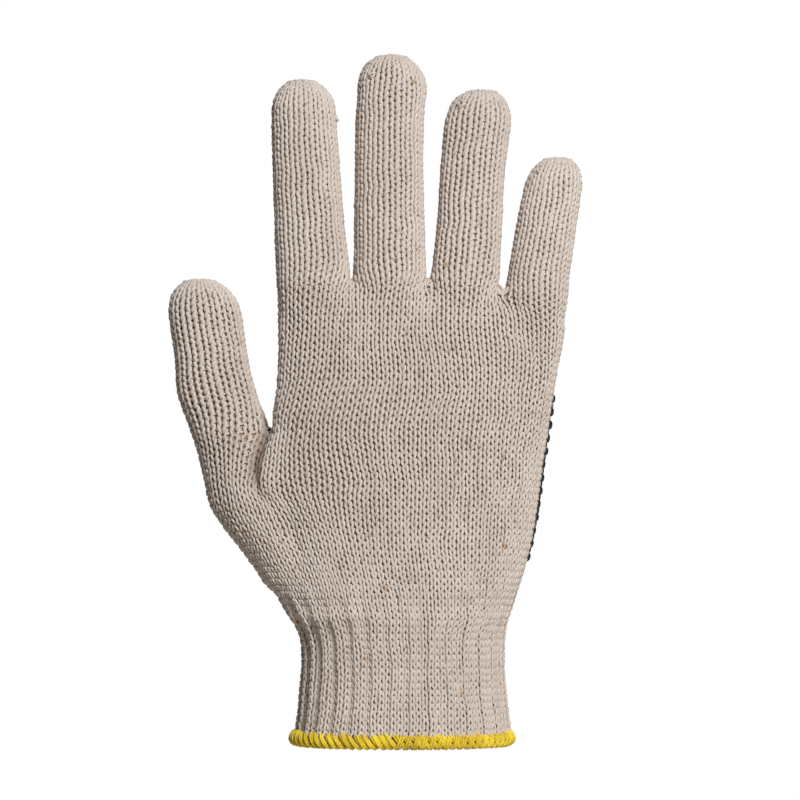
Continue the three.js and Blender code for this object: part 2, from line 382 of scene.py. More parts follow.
# The thumb joins, and all wales run down to the cuff
thumbFront, thumbBack = halvesOf(feet["thumb"])
palmFront, palmBack = halvesOf(above)
thumbHalf = len(thumbFront)
lowerHalf = thumbHalf + upperHalf
above = np.concatenate([thumbFront, palmFront, palmBack, thumbBack])
lowerLevels = np.arange(*knitPlan["lowerLevels"])
lowerTable = contoursOf(lowerTree, lowerLevels)
lowerTop, lowerFoot = knitPlan["crotchZ"], cuffHigh[2]
creases = [shareByX(lowerTable, len(lowerLevels) - 2, side, knitPlan["crotchX"]) for side in (0, 1)]


def lowerPlace(side, j, down):
    crease = creases[side]
    if j < thumbHalf:
        split = crease * (j + 0.5) / thumbHalf
    else:
        split = crease + (1 - crease) * bowed((j - thumbHalf + 0.5) / upperHalf)
    blend = smooth(down)
    share = split * (1 - blend) + (j + 0.5) / lowerHalf * blend
    return onContour(lowerTable, lowerLevels, lowerTop + (lowerFoot - lowerTop) * down, side, share)


for course in range(knitPlan["lowerCourses"]):
    ids = handCourse("hand_lower", lowerHalf, lowerPlace, (course + 0.5) / knitPlan["lowerCourses"])
    links.append((above, ids, True))
    above = ids

# The cuff: one raised wale and two sunk wales to a rib, on a smooth oval over the rib crests
cuffPlan = {
    "ribs": 30,
    "places": (0.0, 0.335, 0.665),  # of the three wales in a rib, from crest to crest
    "sunk": 1.0,  # depth of the sunk wales behind the raised ones
    "fade": 4,  # courses of the cuff over which the wales move to their places in a rib
    "early": 6,  # courses above the cuff where the ribs start to sink, until the fade is over
    "foot": 4.6,  # height of the last course, inside the hem
    "levelStep": 4.0,
    "perRib": 4,  # measured points to a rib
    "crestReach": 4,  # measured points to either side among which a crest is sought
    "evenReach": 5,  # and over which the crests are evened out
    "flatter": (20, 40, 0.45, 0.55),  # toward the little finger: from x, over, share lost, share left
}
cuffLevels = np.arange(math.ceil(cuffLow[2] + 0.1), cuffHigh[2], cuffPlan["levelStep"])
cuffTable = contoursOf(cuffTree, cuffLevels, samples=cuffPlan["ribs"] * cuffPlan["perRib"])
centre = cuffTable.mean(axis=(1, 2), keepdims=True)
closed = np.concatenate([cuffTable[:, 0, :-1], cuffTable[:, 1, :0:-1]], axis=1) - centre[:, 0]
radius = np.linalg.norm(closed[:, :, :2], axis=2)
reach, even = cuffPlan["crestReach"], cuffPlan["evenReach"]
crest = np.max([np.roll(radius, step, axis=1) for step in range(-reach, reach + 1)], axis=0)
crest = np.mean([np.roll(crest, step, axis=1) for step in range(-even, even + 1)], axis=0)
closed[:, :, :2] *= (crest / radius)[:, :, None]
closed += centre[:, 0]


def onCuff(z, share):
    samples = closed.shape[1]
    row = np.clip((z - cuffLevels[0]) / cuffPlan["levelStep"], 0, len(cuffLevels) - 1.001)
    column = (share % 1) * samples
    point = inTable(closed, row, column, (int(column) + 1) % samples)
    point[2] = z
    return point


cuffCount = 2 * lowerHalf
for course in range(knitPlan["cuffCourses"]):
    down = (course + 0.5) / knitPlan["cuffCourses"]
    z = cuffHigh[2] + (cuffPlan["foot"] - cuffHigh[2]) * down
    blend = smooth((course + 0.5) / cuffPlan["fade"])
    row = []
    for j in range(cuffCount):
        even = (j + 0.5) / cuffCount
        ribbed = (j // 3 + cuffPlan["places"][j % 3]) / cuffPlan["ribs"]
        row.append(onCuff(z, even * (1 - blend) + ribbed * blend))
    ids = addCourse("cuff", row)
    links.append((above, ids, True))
    above = ids

# Neighbours of every stitch
stitch = np.concatenate([course["stitches"] for course in courses])
count = len(stitch)
left, right = np.zeros(count, dtype=int), np.zeros(count, dtype=int)
up, down = np.full(count, -1), np.full(count, -1)
for course in courses:
    ids = np.arange(course["first"], course["last"])
    left[ids], right[ids] = np.roll(ids, 1), np.roll(ids, -1)
for upper, lower, paired in links:
    up[lower] = upper
    if paired:
        down[upper] = lower
pieceOf = np.concatenate([[course["piece"]] * len(course["stitches"]) for course in courses])
print("stitches:", count, {name: int((pieceOf == name).sum()) for name in sorted(set(pieceOf))})

# Settle: each stitch moves toward the middle of its neighbours and stays on the skin
trees = dict(digitTrees)
trees["hand_upper"] = upperTree
trees["hand_lower"] = lowerTree
loose = (up >= 0) & (down >= 0) & (pieceOf != "cuff")
looseIds = np.flatnonzero(loose)
looseTrees = [trees[pieceOf[i]] for i in looseIds]
for again in range(knitPlan["settle"]):
    middle = (stitch[left] + stitch[right] + stitch[up] + stitch[down]) / 4
    moved = stitch[looseIds] * 0.5 + middle[looseIds] * 0.5
    for k, (tree, point) in enumerate(zip(looseTrees, moved.tolist())):
        moved[k] = tree.find_nearest(Vector(point))[0]
    stitch[looseIds] = moved


# The fold where the hand meets the ball of the thumb, on the back of the hand. The thumb's side
# slopes down to the crease, and the edge of the hand stands over it.
fold = {
    "heights": (76, 84, 88.5, 94.3, 98.7, 103.9, 108.7, 112),
    "valley": (-40, -41.5, -42.5, -44, -45, -45.8, -46, -45.6),  # x of the wall's own valley
    "crease": (-49, -50, -50.6, -50.3, -49.3, -47.7, -45.6, -45.6),  # x of the fold
    "share": (0, 0.45, 0.75, 0.92, 1, 1, 1, 1),
    "groove": (0, 0.2, 0.9, 2.0, 2.8, 3.1, 2.2, 0),  # extra depth
    "fill": (0.6, 1.9, 1.8, 0.9, 0.2, 0, 0, 0),  # evens out the wall's own valley
    "reach": (18, 28),  # of the pull, to the thumb's side and to the hand's
    "slope": (3.0, 0.9),
    "valleyWidth": 4,
    "between": (76, 111),  # heights
    "back": (9, 6),  # y where the fold ends toward the palm, and the distance over which it fades
    # The ridge and the overlap of the hand's edge, and the gathering of the thumb's wales: axis,
    # amount for each millimetre of groove, place beside the crease, width
    "bumps": ((1, -0.55, 2.6, 2.6), (0, -0.30, 1.8, 1.8), (0, 0.4, -3.0, 4.0)),
    # Painted shade in the crease, a darker brown on the yarn where the fold's shadow falls: how strong,
    # how far to the thumb's side, how wide
    "paintedShade": ((1.0, 0.1, 0.8), (0.45, 1.8, 1.6)),
    "paintedShadeFull": 2,  # groove at which the painted shade has its full strength
    "paintedShadeY": 4,  # it ends here toward the palm
}


def foldAt(z, *keys):
    return (np.interp(z, fold["heights"], fold[key]) for key in keys)


def bell(distance, width):
    return np.exp(-(distance / width) ** 2)


def foldHand():
    x, y, z = stitch.T
    valley, target, share, groove, fill = foldAt(z, "valley", "crease", "share", "groove", "fill")
    low, high = fold["between"]
    near = np.isin(pieceOf, ("hand_upper", "hand_lower")) & (z > low) & (z < high)
    ends, fades = fold["back"]
    atBack = np.clip((ends - y) / fades, 0, 1) * near
    onHand = (x > valley).astype(int)
    pull = np.clip(1 - abs(x - valley) / np.array(fold["reach"])[onHand], 0, 1)
    stitch[:, 1] -= fill * bell(x - valley, fold["valleyWidth"]) * atBack
    stitch[:, 0] += (target - valley) * share * pull * atBack
    beside = stitch[:, 0] - valley - (target - valley) * share
    deep = groove * bell(beside, np.array(fold["slope"])[(beside > 0).astype(int)])
    stitch[:, 1] += deep * atBack
    for axis, amount, place, width in fold["bumps"]:
        stitch[:, axis] += amount * groove * bell(beside - place, width) * atBack


def paintedShadeAt(points):
    # How much painted shade darkens the yarn at each point, strongest in the fold's crease
    x, y, z = points.T
    valley, target, share, groove = foldAt(z, "valley", "crease", "share", "groove")
    beside = x - valley - (target - valley) * share
    shadeAmount = sum(strong * bell(beside + place, wide) for strong, place, wide in fold["paintedShade"])
    return shadeAmount * np.clip(groove / fold["paintedShadeFull"], 0, 1) * (y < fold["paintedShadeY"])


foldHand()

# Places where the filled knit stands out further than its wall: x, z, amount, reach
fuller = [
    (-76.5, 123, -1.1, 8),
    (-65, 82, -1.1, 7),
    (-45, 55.5, -1.5, 6),
    (-20.5, 226, 1.0, 6),
    (7.5, 229, 0.8, 6),
    (17.5, 225, -0.8, 4),
    (52, 112, -0.35, 9),
    (49.5, 97, -0.35, 9),
    (47, 83, -0.35, 9),
    (44.5, 69, -0.2, 8),
]
for x, z, amount, reach in fuller:
    away = np.exp(-((stitch[:, 0] - x) ** 2 + (stitch[:, 2] - z) ** 2) / reach ** 2)
    stitch[:, 0] += amount * away
stray = dice.normal(0, 1, (count, 2))
for again in range(3):
    around = (stray[left] + stray[right] + stray[np.maximum(up, 0)] + stray[np.maximum(down, 0)]) / 4
    stray = 0.4 * stray + 0.6 * around
stray *= knitPlan["wander"] / stray.std()


hasUp, hasDown = up[:, None] >= 0, down[:, None] >= 0


def frameOfLoops():
    upward = np.where(hasUp, stitch[up] - stitch, 0)
    downward = np.where(hasDown, stitch[down] - stitch, 0)
    upward = np.where(hasUp, upward, -downward)
    downward = np.where(hasDown, downward, -upward)
    sideways = (stitch[right] - stitch[left]) / 2
    normal = unit(np.cross(sideways, upward - downward))
    return upward, downward, sideways, normal


upward, downward, sideways, normal = frameOfLoops()
stitch += unit(sideways) * stray[:, :1] + unit(upward - downward) * stray[:, 1:]
for again in range(3):
    spread = normal[left] + normal[right] + np.where(hasUp, normal[up], 0)
    spread += np.where(hasDown, normal[down], 0)
    normal = unit(normal * 2 + spread)
stitch = stitch - normal * knitPlan["depth"]
sunk = np.zeros(count)
fromX, over, lost, leftOver = cuffPlan["flatter"]
flatter = np.clip((fromX - stitch[:, 0]) / over, 0, 1) * lost + leftOver
for number, course in enumerate(courses[-(cuffPlan["early"] + knitPlan["cuffCourses"]):]):
    ids = np.arange(course["first"], course["last"])
    grown = smooth((number + 0.5) / (cuffPlan["early"] + cuffPlan["fade"]))
    sunk[ids[1::3]] = grown
    sunk[ids[2::3]] = grown
skinNormal = normal.copy()
stitch = stitch - normal * (sunk * flatter * cuffPlan["sunk"])[:, None]
upward, downward, sideways = frameOfLoops()[:3]
print("settled, wale pitch", np.percentile(np.linalg.norm(sideways, axis=1), [5, 50, 95]).round(2))

# One loop of yarn, each point with x, y, n, wide and thick. x is in wale pitches from the wale's
# middle, y in courses toward the cuff, n in millimetres out of the cloth, and wide and thick are
# half the yarn's size there.
yarn = {
    "sides": 5,
    "hand": {
        "halfLoop": [
            (0.155, -0.60, 0.10, 0.50, 0.48),
            (0.205, -0.28, 0.46, 0.55, 0.52),
            (0.325, 0.22, 0.42, 0.56, 0.52),
            (0.375, 0.54, 0.00, 0.50, 0.48),
        ],
        "head": (0.000, 0.82, -0.36, 0.50, 0.46),
        "sinker": (0.500, -0.80, -0.40, 0.46, 0.44),
    },
    "digit": {
        "halfLoop": [
            (0.175, -0.62, 0.12, 0.60, 0.51),
            (0.200, -0.30, 0.46, 0.76, 0.55),
            (0.320, 0.22, 0.42, 0.78, 0.55),
            (0.360, 0.56, 0.06, 0.66, 0.52),
            (0.215, 0.86, -0.14, 0.54, 0.48),
        ],
        "head": (0.000, 0.98, -0.12, 0.52, 0.47),
        "sinker": (0.500, -0.80, -0.36, 0.54, 0.48),
    },
    "unevenness": 0.08,  # millimetres by which a loop's points stray
    "slant": -0.05,  # how much the twist of the yarn turns all loops, in wale pitches a course
    "lean": 0.05,  # most that a wale's loops lean more than that
}


def placeOn(ids, x, y, n):
    # A point of each loop in ids, from its place in the cloth
    field, other = (upward, up) if y < 0 else (downward, down)
    step = abs(y)
    known = other[ids] >= 0
    side, out = sideways[ids], skinNormal[ids]
    for own, values in ((side, sideways), (out, skinNormal)):
        own[known] = own[known] * (1 - step) + values[other[ids][known]] * step
    out = unit(out)
    base = stitch[ids] + field[ids] * step
    return base + side * np.reshape(x, (-1, 1)) + out * np.reshape(n, (-1, 1)), out


def yarnOf(ids, shape):
    # The course's closed run of yarn, as rings of points round it
    half = shape["halfLoop"]
    leftSide = [(-x, *others) for x, *others in half]
    loop = leftSide + [shape["head"]] + half[::-1] + [shape["sinker"]]
    size = len(ids)
    path = np.zeros((size, len(loop), 3))
    outs = np.zeros((size, len(loop), 3))
    wides = np.zeros((size, len(loop)))
    thicks = np.zeros((size, len(loop)))
    leans = waleLean[ids]
    for k, (x, y, n, wide, thick) in enumerate(loop):
        spot, out = placeOn(ids, x + leans * y, y, n)
        if k == len(loop) - 1:
            nextIds = np.roll(ids, -1)
            spotNext, outNext = placeOn(nextIds, -x + waleLean[nextIds] * y, y, n)
            spot, out = (spot + spotNext) / 2, unit(out + outNext)
        path[:, k], outs[:, k] = spot, out
        wides[:, k], thicks[:, k] = wide, thick
    path += dice.normal(0, yarn["unevenness"], path.shape)
    swell = 1 + dice.normal(0, 0.05, (size, 1)) + dice.normal(0, 0.03, wides.shape)
    path, outs = path.reshape(-1, 3), outs.reshape(-1, 3)
    return path, outs, (wides * swell).ravel(), (thicks * swell).ravel(), len(loop)


def tubeRings(path, outs, wides, thicks, sides, closedPath=True):
    if closedPath:
        along = np.roll(path, -1, axis=0) - np.roll(path, 1, axis=0)
    else:
        along = np.gradient(path, axis=0)
    along = unit(along)
    wideway = unit(np.cross(along, outs))
    thickway = np.cross(along, wideway)
    angles = turn * np.arange(sides) / sides
    ring = (wideway * wides[:, None])[:, None] * np.cos(angles)[None, :, None]
    ring = ring + (thickway * thicks[:, None])[:, None] * np.sin(angles)[None, :, None]
    return path[:, None] + ring


def tubeFaces(rows, sides, closedPath=True):
    steps = rows if closedPath else rows - 1
    i = np.arange(steps)[:, None]
    s = np.arange(sides)[None, :]
    nextI, nextS = (i + 1) % rows, (s + 1) % sides
    quads = np.stack([i * sides + s, i * sides + nextS, nextI * sides + nextS, nextI * sides + s], axis=-1)
    return quads.reshape(-1, 4)


def linked(name, data):
    thing = bpy.data.objects.new(name, data)
    bpy.context.scene.collection.objects.link(thing)
    return thing


def meshObject(name, points, quads, materials):
    mesh = bpy.data.meshes.new(name)
    mesh.from_pydata((np.asarray(points) * mm).tolist(), [], quads.tolist())
    mesh.shade_smooth()
    mesh.validate()
    for material in materials:
        mesh.materials.append(material)
    return linked(name, mesh)


def addUv(thing, name, u, v):
    layer = thing.data.uv_layers.new(name=name)
    layer.data.foreach_set("uv", np.stack([u, v], axis=-1).astype(np.float32).ravel())


def fromTo(a, b):
    return np.stack([a, a, b, b], axis=1)


def addTube(tubes, path, outs, wides, thicks, sides, placeOf, closedPath=True):
    # placeOf gives the cell of each face on the sheet, and where it starts and ends there
    rings = tubeRings(path, outs, wides, thicks, sides, closedPath).reshape(-1, 3)
    faces = tubeFaces(len(path), sides, closedPath)
    steps = len(faces) // sides
    i, s = np.repeat(np.arange(steps), sides), np.tile(np.arange(sides), steps)
    cells, start, end = placeOf(i, steps)
    travelled = runningSum(np.linalg.norm(np.roll(path, -1, axis=0) - path, axis=1))
    along = fromTo(travelled[i], travelled[i + 1])
    around = np.stack([s, s + 1, s + 1, s], axis=1) / sides
    faces = faces + sum(len(part) for part in tubes[0])
    for part, values in zip(tubes, (rings, faces, cells, fromTo(start, end), along, around)):
        part.append(values)


def yarnObject(name, material, tubes, perRow, margin):
    # tubes: points, faces, cells, places in a cell, along the yarn and round it, a list of each
    points, quads, cells, inU, along, around = (np.concatenate(part) for part in tubes)
    thing = meshObject(name, points, quads, [material])
    # Each stitch has a cell of its own on the square sheet
    rows = math.ceil(cells.max() / perRow + 1)
    column, row = cells[:, None] % perRow, cells[:, None] // perRow
    u = (column + margin + inU * (1 - 2 * margin)) / perRow
    v = (row + margin + around * (1 - 2 * margin)) / rows
    addUv(thing, "OFBake", u, v)
    addUv(thing, "yarnLength", along, around)
    print(name, "triangles", 2 * len(quads))
    return thing


waleLean = dice.uniform(-yarn["lean"], yarn["lean"], count)
for again in range(6):
    waleLean = 0.35 * waleLean + 0.65 * np.where(up >= 0, waleLean[up], waleLean)
waleLean += yarn["slant"]


def knitPiece(name, parts, replaced, shape):
    tubes = [[] for part in range(6)]
    shades, paintedShades, stitchAt = [], [], 0
    sides = yarn["sides"]
    for course in parts:
        ids = np.arange(course["first"], course["last"])
        path, outs, wides, thicks, perLoop = yarnOf(ids, shape)

        def placeOf(i, steps):
            inLoop = (i % perLoop) / perLoop
            return stitchAt + i // perLoop, inLoop, inLoop + 1 / perLoop

        addTube(tubes, path, outs, wides, thicks, sides, placeOf)
        tone = dice.normal(0, 1, len(ids))
        tone = (tone + np.roll(tone, 1) + np.roll(tone, 2)) / 1.7 + dice.normal(0, 0.5)
        shades.append(np.repeat(tone, perLoop * sides))
        # painted shade for the fold's crease, carried on the yarn as an attribute
        paintedShades.append(np.repeat(paintedShadeAt(path), sides))
        stitchAt += len(ids)
    perRow = max(1, math.floor(math.sqrt(stitchAt / 2.2)))  # a cell is about 2.2 times as wide as tall
    thing = yarnObject(name, cotton, tubes, perRow, 0.04)
    for key, values in (("tone", shades), ("paintedShade", paintedShades)):
        layer = thing.data.attributes.new(key, "FLOAT", "POINT")
        layer.data.foreach_set("value", np.concatenate(values).astype(np.float32))
    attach(thing, "root")
    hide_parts(*replaced)


# Materials
cottonLook = {
    "color": (0.66, 0.565, 0.50),
    "dark": (0.49, 0.40, 0.335),
    "fleck": (0.42, 0.25, 0.13),
    # colour of the painted shade in the fold's crease
    "paintedShade": (0.20, 0.125, 0.085),
    "roughness": 0.95,
    "shine": 0.12,
    "toneShare": 0.13,  # how much a stitch's own tone adds to the broad patches
    "mostDark": 0.42,
    "mostFleck": 0.8,
    "mostPaintedShade": 0.9,
    "plies": 4,
    "twist": 2.6,  # millimetres of yarn to one turn of the plies
    "plyShare": 0.35,  # relief of the plies beside that of the fibres
    "relief": (0.7, 0.09),  # strength, and depth in millimetres
}
# The outside colour of the backs is painted shade, a dark brown that makes the holes of the knit look deep
backingLook = {"outside": (0.48, 0.335, 0.25), "inside": (0.55, 0.46, 0.37), "dark": 0.7}


class Nodes:
    # A short way to write shader trees
    def __init__(self, owner, shader="Principled BSDF"):
        owner.use_nodes = True
        self.owner = owner
        self.tree = owner.node_tree
        self.shader = self.tree.nodes[shader]

    def connect(self, value, socket):
        if isinstance(value, bpy.types.NodeSocket):
            self.tree.links.new(value, socket)
        else:
            socket.default_value = value

    def into(self, socket, value):
        self.connect(value, self.shader.inputs[socket])

    def node(self, kind, inputs=None, **settings):
        made = self.tree.nodes.new(kind)
        for key, value in settings.items():
            setattr(made, key, value)
        for key, value in (inputs or {}).items():
            self.connect(value, made.inputs[key])
        return made

    def math(self, operation, a, b=0.0, c=0.0):
        return self.node("ShaderNodeMath", {0: a, 1: b, 2: c}, operation=operation).outputs[0]

    def mix(self, factor, a, b):
        a, b = ((*value, 1) if isinstance(value, tuple) else value for value in (a, b))
        return self.node("ShaderNodeMix", {"Factor": factor, 6: a, 7: b}, data_type="RGBA").outputs[2]

    def noise(self, scale, detail=2.0, stretch=(1, 1, 1)):
        place = self.node("ShaderNodeTexCoord").outputs["Object"]
        place = self.node("ShaderNodeMapping", {"Vector": place, "Scale": stretch}).outputs[0]
        inputs = {"Vector": place, "Scale": scale, "Detail": detail}
        return self.node("ShaderNodeTexNoise", inputs).outputs["Fac"]

    def ramp(self, value, low, high, toLow=0, toHigh=1):
        inputs = {"Value": value, "From Min": low, "From Max": high, "To Min": toLow, "To Max": toHigh}
        return self.node("ShaderNodeMapRange", inputs).outputs["Result"]

    def painted(self, name):
        return self.node("ShaderNodeAttribute", attribute_name=name).outputs["Fac"]

    def plies(self, twist, number):
        # A wave that winds round the yarn
        uv = self.node("ShaderNodeUVMap", uv_map="yarnLength").outputs[0]
        split = self.node("ShaderNodeSeparateXYZ", {"Vector": uv})
        phase = self.math("ADD", self.math("DIVIDE", split.outputs["X"], twist), split.outputs["Y"])
        return self.math("SINE", self.math("MULTIPLY", phase, turn * number))

    def relief(self, height, strength, depth):
        inputs = {"Height": height, "Strength": strength, "Distance": depth * mm}
        self.into("Normal", self.node("ShaderNodeBump", inputs).outputs[0])


def cottonYarn():
    look = cottonLook
    made = Nodes(bpy.data.materials.new("cottonYarn"))
    patches = made.ramp(made.noise(60, 2, (1, 1, 0.4)), 0.3, 0.75)
    mixed = made.math("MULTIPLY_ADD", made.painted("tone"), look["toneShare"], patches)
    color = made.mix(made.math("MULTIPLY", mixed, look["mostDark"]), look["color"], look["dark"])
    fleck = made.ramp(made.noise(420, 1), 0.69, 0.75)
    color = made.mix(made.math("MULTIPLY", fleck, look["mostFleck"]), color, look["fleck"])
    # Painted shade: the yarn in the fold's crease is darkened toward a dark brown
    shadeFactor = made.math("MINIMUM", made.painted("paintedShade"), look["mostPaintedShade"])
    made.into("Base Color", made.mix(shadeFactor, color, look["paintedShade"]))
    made.into("Roughness", look["roughness"])
    made.into("Specular IOR Level", look["shine"])
    wave = made.plies(look["twist"], look["plies"])
    made.relief(made.math("MULTIPLY_ADD", wave, look["plyShare"], made.noise(2600, 2)), *look["relief"])
    return made.owner


def plain(name, color):
    made = Nodes(bpy.data.materials.new(name))
    darker = tuple(backingLook["dark"] * value for value in color)
    made.into("Base Color", made.mix(made.noise(900, 3), color, darker))
    made.into("Roughness", 1.0)
    return made.owner


cotton = cottonYarn()
gapShadow = plain("gapShadow", backingLook["outside"])
innerCotton = plain("innerCotton", backingLook["inside"])
print("materials made")

# The knit, piece by piece
def coursesOf(piece):
    return [course for course in courses if course["piece"] == piece]


for name in digitNames:
    knitPiece("knit_" + name, coursesOf(name), [name], yarn["digit"])
lowerRows = coursesOf("hand_lower")
handSplit = 4  # courses of the lower hand that go with the upper one
knitPiece("knit_hand_upper", coursesOf("hand_upper") + lowerRows[:handSplit], ["palm_body"], yarn["hand"])
knitPiece("knit_hand_lower", lowerRows[handSplit:], ["palm_body"], yarn["hand"])
knitPiece("knit_cuff", coursesOf("cuff"), ["wrist_cuff"], yarn["hand"])


# Bare threads: tubes along a path of their own
def threadPiece(name, paths, sides, material, replaced=(), closedPath=False):
    # paths: (points, outward directions, half width, half thickness), one for each thread
    tubes = [[] for part in range(6)]
    for number, (path, outs, wide, thick) in enumerate(paths):

        def placeOf(i, steps):
            return np.full(len(i), number), i / steps, (i + 1) / steps

        wides, thicks = np.full(len(path), wide), np.full(len(path), thick)
        addTube(tubes, path, outs, wides, thicks, sides, placeOf, closedPath)
    thing = yarnObject(name, material, tubes, 1, 0.08)
    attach(thing, "root")
    if replaced:
        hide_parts(*replaced)


def curveThrough(corners, steps):
    # A smooth curve through a few points
    corners = np.array(corners)
    ends = np.vstack([2 * corners[0] - corners[1], corners, 2 * corners[-1] - corners[-2]])
    run = []
    for k in range(len(corners) - 1):
        a, b, c, d = ends[k:k + 4]
        for t in np.arange(steps) / steps:
            run.append(b + 0.5 * t * (c - a + t * (2 * a - 5 * b + 4 * c - d + t * (3 * (b - c) + d - a))))
    run.append(corners[-1])
    return np.array(run)


# Crotches: a few loose stitches from the back of the hand over to the palm
crotch = {
    "threads": (-1.0, 0.0, 1.0),
    "gap": 1.0,
    "wave": 0.3,
    "radius": 0.55,
    "low": 0.8,  # how far the middle of a thread lies below the stitches it joins
    "climb": 0.87,  # gaps of height to each further thread
    "loose": 0.06,
}


def crotchThreads():
    paths, pairs = [], []
    for a, b in zip(fingerNames[:-1], fingerNames[1:]):
        (front, back), (nextFront, nextBack) = halvesOf(feet[a]), halvesOf(feet[b])
        pairs.append((front[-1], nextFront[0], nextBack[-1], back[0]))
    pairs.append((thumbFront[-1], palmFront[0], palmBack[-1], thumbBack[0]))
    for a, b, c, d in pairs:
        across = unit(stitch[b] - stitch[a] + stitch[c] - stitch[d])
        corners = [(stitch[down[a]] + stitch[down[b]]) / 2, (stitch[a] + stitch[b]) / 2]
        corners += [(stitch[c] + stitch[d]) / 2, (stitch[down[c]] + stitch[down[d]]) / 2]
        corners[1][2] = min(stitch[a, 2], stitch[b, 2]) - crotch["low"]
        corners[2][2] = min(stitch[c, 2], stitch[d, 2]) - crotch["low"]
        middle = curveThrough(corners, 6)
        # More of them climb the side of the finger whose foot is higher
        higher = int((stitch[a, 2] - stitch[b, 2]) / crotch["gap"] / crotch["climb"])
        more = tuple(-2.0 - k for k in range(higher))
        for number, shift in enumerate(crotch["threads"] + more):
            wave = crotch["wave"] * np.sin(np.arange(len(middle)) * 1.6 + number * 2)
            path = middle + across * (shift * crotch["gap"] + wave)[:, None]
            path += dice.normal(0, crotch["loose"], path.shape)
            outs = np.tile((0.0, 0.0, 1.0), (len(path), 1))
            paths.append((path, outs, crotch["radius"], crotch["radius"]))
    threadPiece("knit_crotches", paths, yarn["sides"], cotton)


crotchThreads()

# Yarn ends drawn in at the fingertips, each a small curl on the knit: x, y, z, size
curls = [
    (-20.0, 4.5, 217.8, 1.3),
    (-12.5, -6.0, 234.0, 1.0),
    (16.8, -4.0, 226.5, 1.4),
    (43.5, -5.0, 203.0, 1.0),
    (-33.0, 0.0, 234.0, 0.7),
]


def yarnEnds():
    paths = []
    for x, y, z, size in curls:
        middle, out = nearest(upperTree, (x, y, z))
        a = unit(np.cross(out, (0, 0, 1.0)))
        b = np.cross(out, a)
        t = np.linspace(0, 1, 18)[:, None]
        angle = turn * 1.4 * t
        path = middle + (a * np.cos(angle) + b * np.sin(angle)) * size * (1 - 0.5 * t)
        path += out * (0.7 * size * t - 0.3)
        paths.append((path, np.tile(out, (len(path), 1)), 0.5, 0.5))
    threadPiece("knit_ends", paths, yarn["sides"], cotton)


yarnEnds()

# The overlocked edge: a roll of yellow threads wrapped round the mouth
hem = {
    "wraps": 76,
    "inward": 2.3,  # middle of the roll inside the rim of its wall
    "roll": (1.35, 1.35),  # half size of the roll under the threads, across and upright
    "middle": 3.45,  # height of the middle of the roll
    "lean": 1.7,  # how far a wrap travels on the outside, in wraps
    "threads": (-0.26, 0.0, 0.26),  # places in a wrap
    "bulge": (0.0, 0.42, 0.1),  # how far each stands out
    "radius": 0.43,
    "steps": 14,
    "sides": 5,
    "braid": (0.24, 0.47),  # part of the way round where a second thread crosses back
    "bite": 0.9,  # how far the tops reach up over the knit
    "wander": 0.11,  # of a wrap, in wraps
    "loose": 0.06,
    "crossPlaces": (-0.16, 0.16),
    "crossTurn": 0.9,  # part of the outside that a crossing goes over
    "crossTravel": (0.9, 0.8),  # where it starts and how far it goes back, in wraps
    "crossOut": (1.9, 0.35),  # its distance in radii of the thread, and its bulge
    "crossLoose": 0.05,
}
hemLook = {
    "color": (0.92, 0.68, 0.035),
    "dark": (0.60, 0.40, 0.014),
    "roughness": 0.7,
    "sheen": 0.2,
    "shine": 0.25,
    "plies": 3,
    "twist": 1.5,
    "relief": (0.6, 0.05),
}


def yellowYarn():
    made = Nodes(bpy.data.materials.new("yellowYarn"))
    patches = made.ramp(made.noise(140, 2), 0.35, 0.75)
    made.into("Base Color", made.mix(patches, hemLook["color"], hemLook["dark"]))
    made.into("Roughness", hemLook["roughness"])
    made.into("Sheen Weight", hemLook["sheen"])
    made.into("Specular IOR Level", hemLook["shine"])
    made.relief(made.plies(hemLook["twist"], hemLook["plies"]), *hemLook["relief"])
    return made.owner


hemTree = treeOf([awayFaces("cuff_hem")])
hemRim = contoursOf(hemTree, [hem["middle"]], samples=96)[0]
hemRim = np.concatenate([hemRim[0, :-1], hemRim[1, :0:-1]])
hemOut = unit(np.cross(np.roll(hemRim, -1, axis=0) - np.roll(hemRim, 1, axis=0), (0, 0, 1)))
hemLine = hemRim - hemOut * hem["inward"]


def roundHem(values, share):
    place = (share % 1) * len(values)
    i = place.astype(int)
    part = (place - i)[:, None]
    return values[i % len(values)] * (1 - part) + values[(i + 1) % len(values)] * part


def onHem(share, angle, out):
    # A point on the roll: angle 0 is the outside, a quarter turn is the top
    outward = unit(roundHem(hemOut, share))
    across, upright = hem["roll"]
    spot = roundHem(hemLine, share) + outward * ((across + out) * np.cos(angle))[:, None]
    spot[:, 2] = hem["middle"] + (upright + out) * np.sin(angle)
    normal = outward * np.cos(angle)[:, None]
    normal[:, 2] += np.sin(angle)
    return spot, normal


def hemThreads():
    paths = []
    steps = hem["steps"]
    size = hem["wraps"] * steps
    k = np.arange(size) / steps
    inWrap = k % 1
    # The first half of a wrap runs down the outside, the second comes up on the inside
    outside = np.clip(inWrap * 2, 0, 1)
    inside = np.clip(inWrap * 2 - 1, 0, 1)
    travel = np.floor(k) + hem["lean"] * outside + (1 - hem["lean"]) * inside
    angle = math.pi / 2 - turn * inWrap
    each = np.arange(hem["wraps"] + 1)
    wander = np.interp(k, each, dice.normal(0, hem["wander"], len(each)))
    reach = np.interp(k, each, dice.uniform(0.2, 1, len(each)))
    top = np.clip(np.cos(turn * inWrap), 0, 1) ** 6
    radius = hem["radius"]
    for place, bulge in zip(hem["threads"], hem["bulge"]):
        share = (travel + place + wander) / hem["wraps"]
        loose = dice.normal(0, hem["loose"], size)
        spot, normal = onHem(share, angle, radius + bulge + loose)
        spot[:, 2] += top * reach * hem["bite"]
        paths.append((spot, normal, radius, radius))
    return paths


